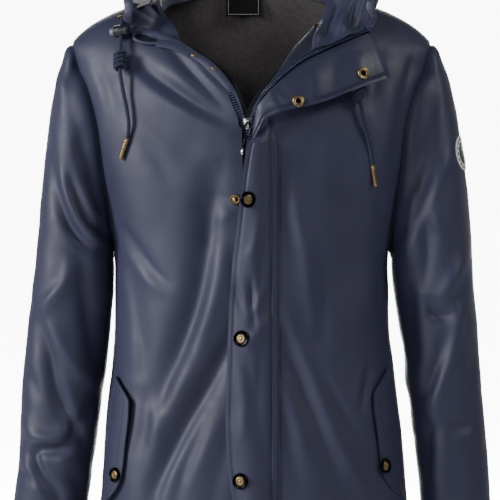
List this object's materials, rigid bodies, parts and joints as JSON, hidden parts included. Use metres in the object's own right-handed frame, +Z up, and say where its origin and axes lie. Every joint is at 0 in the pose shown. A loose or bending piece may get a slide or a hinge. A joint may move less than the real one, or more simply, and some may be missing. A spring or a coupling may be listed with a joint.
{
  "type": "foul weather jacket",
  "caption": "Hooded hip-length foul weather jacket in coated fabric, with a zipped front under a snapped storm flap, drawcord hood, lining and flapped side pockets.",
  "frame": {"origin": "the neck point that the jacket hangs from, midway between the two shoulder seams and 66 mm above the shoulder points", "axes": "+Z up along the body, the wearer faces -Y, +X to the wearer's left"},
  "size_m": [0.643, 0.3708, 0.8402],
  "materials": {
    "coated_navy": "semi-gloss polyurethane coated knit",
    "charcoal_lining": "matte brushed jersey",
    "zip_tape": "matte woven tape",
    "zip_teeth": "satin moulded",
    "bright_steel": "bright plated",
    "antique_brass": "antiqued, darkened in the recesses",
    "navy_cord": "braided",
    "lock_plastic": "satin",
    "button_plastic": "satin",
    "woven_label": "satin woven",
    "badge_rubber": "matte moulded"
  },
  "bodies": {
    "torso": {"back_panel": "coated_navy", "right_front_panel": "coated_navy", "left_front_panel": "coated_navy", "back_lining": "charcoal_lining", "right_front_lining": "charcoal_lining", "left_front_lining": "charcoal_lining", "right_front_facing": "coated_navy", "left_front_facing": "coated_navy", "right_zip_tape": "zip_tape", "left_zip_tape": "zip_tape", "right_zip_teeth": "zip_teeth", "left_zip_teeth": "zip_teeth", "zip_bottom_box": "bright_steel", "stud_upper": "antique_brass", "stud_middle": "antique_brass", "stud_lower": "antique_brass", "stud_collar_low": "antique_brass", "stud_collar_high": "antique_brass", "right_pocket_stud": "antique_brass", "left_pocket_stud": "antique_brass", "right_pocket_bag": "charcoal_lining", "left_pocket_bag": "charcoal_lining", "neck_facing": "coated_navy", "neck_label": "woven_label", "hanger_loop": "coated_navy", "right_eyelet": "antique_brass", "left_eyelet": "antique_brass", "right_cord": "navy_cord", "left_cord": "navy_cord", "right_cord_knot": "navy_cord", "left_cord_knot": "navy_cord", "right_aglet": "antique_brass", "left_aglet": "antique_brass"},
    "slider": {"zip_slider": "bright_steel"},
    "puller": {"zip_puller": "lock_plastic"},
    "storm_flap": {"storm_flap": "coated_navy", "cap_upper": "antique_brass", "cap_middle": "antique_brass", "cap_lower": "antique_brass"},
    "flap_top": {"storm_flap_top": "coated_navy", "flap_socket_low": "antique_brass", "flap_socket_high": "antique_brass"},
    "right_pocket": {"right_pocket_flap": "coated_navy", "right_pocket_cap": "antique_brass"},
    "left_pocket": {"left_pocket_flap": "coated_navy", "left_pocket_cap": "antique_brass"},
    "right_arm": {"right_upper_sleeve": "coated_navy"},
    "right_forearm": {"right_lower_sleeve": "coated_navy"},
    "left_arm": {"left_upper_sleeve": "coated_navy", "sleeve_badge": "badge_rubber"},
    "left_forearm": {"left_lower_sleeve": "coated_navy"},
    "hood": {"right_hood_panel": "coated_navy", "hood_centre_panel": "coated_navy", "left_hood_panel": "coated_navy", "hood_casing": "coated_navy"},
    "right_lock": {"right_cord_lock": "lock_plastic"},
    "right_button": {"right_lock_button": "button_plastic"},
    "left_lock": {"left_cord_lock": "lock_plastic"},
    "left_button": {"left_lock_button": "button_plastic"}
  },
  "joints": [
    {"name": "zip_slide", "type": "slide", "parent": "torso", "child": "slider", "axis": [0.019, 0, -0.9998], "range_m": [0, 0.504]},
    {"name": "puller_swing", "type": "hinge", "parent": "slider", "child": "puller", "pos_m": [-0.004, -0.1354, -0.178], "axis": [-1, 0, 0], "range_deg": [0, 95]},
    {"name": "storm_flap_swing", "type": "hinge", "parent": "torso", "child": "storm_flap", "pos_m": [0.031, -0.1318, -0.45], "axis": [0, 0, 1], "range_deg": [0, 120]},
    {"name": "flap_top_turn", "type": "hinge", "parent": "torso", "child": "flap_top", "pos_m": [0.076, -0.1347, -0.1163], "axis": [-0.8013, -0.254, -0.5417], "range_deg": [0, 90]},
    {"name": "right_pocket_flap_swing", "type": "hinge", "parent": "torso", "child": "right_pocket", "pos_m": [-0.1901, -0.0617, -0.591], "axis": [-0.0756, -0.0095, -0.9971], "range_deg": [0, 95]},
    {"name": "left_pocket_flap_swing", "type": "hinge", "parent": "torso", "child": "left_pocket", "pos_m": [0.1901, -0.0617, -0.591], "axis": [-0.0756, 0.0095, 0.9971], "range_deg": [0, 95]},
    {"name": "right_shoulder_swing", "type": "hinge", "parent": "torso", "child": "right_arm", "pos_m": [-0.2425, 0, -0.0625], "axis": [0, 1, 0], "range_deg": [0, 60]},
    {"name": "right_elbow_bend", "type": "hinge", "parent": "right_arm", "child": "right_forearm", "pos_m": [-0.244, -0.0648, -0.429], "axis": [-1, 0, 0], "range_deg": [0, 100]},
    {"name": "left_shoulder_swing", "type": "hinge", "parent": "torso", "child": "left_arm", "pos_m": [0.2425, 0, -0.0625], "axis": [0, -1, 0], "range_deg": [0, 60]},
    {"name": "left_elbow_bend", "type": "hinge", "parent": "left_arm", "child": "left_forearm", "pos_m": [0.244, -0.0648, -0.429], "axis": [-1, 0, 0], "range_deg": [0, 100]},
    {"name": "hood_raise", "type": "hinge", "parent": "torso", "child": "hood", "pos_m": [0, -0.064, -0.022], "axis": [1, 0, 0], "range_deg": [0, 95]},
    {"name": "right_lock_slide", "type": "slide", "parent": "torso", "child": "right_lock", "axis": [-0.0265, -0.4109, -0.9113], "range_m": [0, 0.012]},
    {"name": "right_button_press", "type": "slide", "parent": "right_lock", "child": "right_button", "axis": [0.9618, -0.2589, 0.0888], "range_m": [0, 0.004], "stiffness_N_per_m": 200},
    {"name": "left_lock_slide", "type": "slide", "parent": "torso", "child": "left_lock", "axis": [0.5243, -0.3362, -0.7823], "range_m": [0, 0.012]},
    {"name": "left_button_press", "type": "slide", "parent": "left_lock", "child": "left_button", "axis": [-0.8421, -0.3414, -0.4176], "range_m": [0, 0.004], "stiffness_N_per_m": 200}
  ]
}
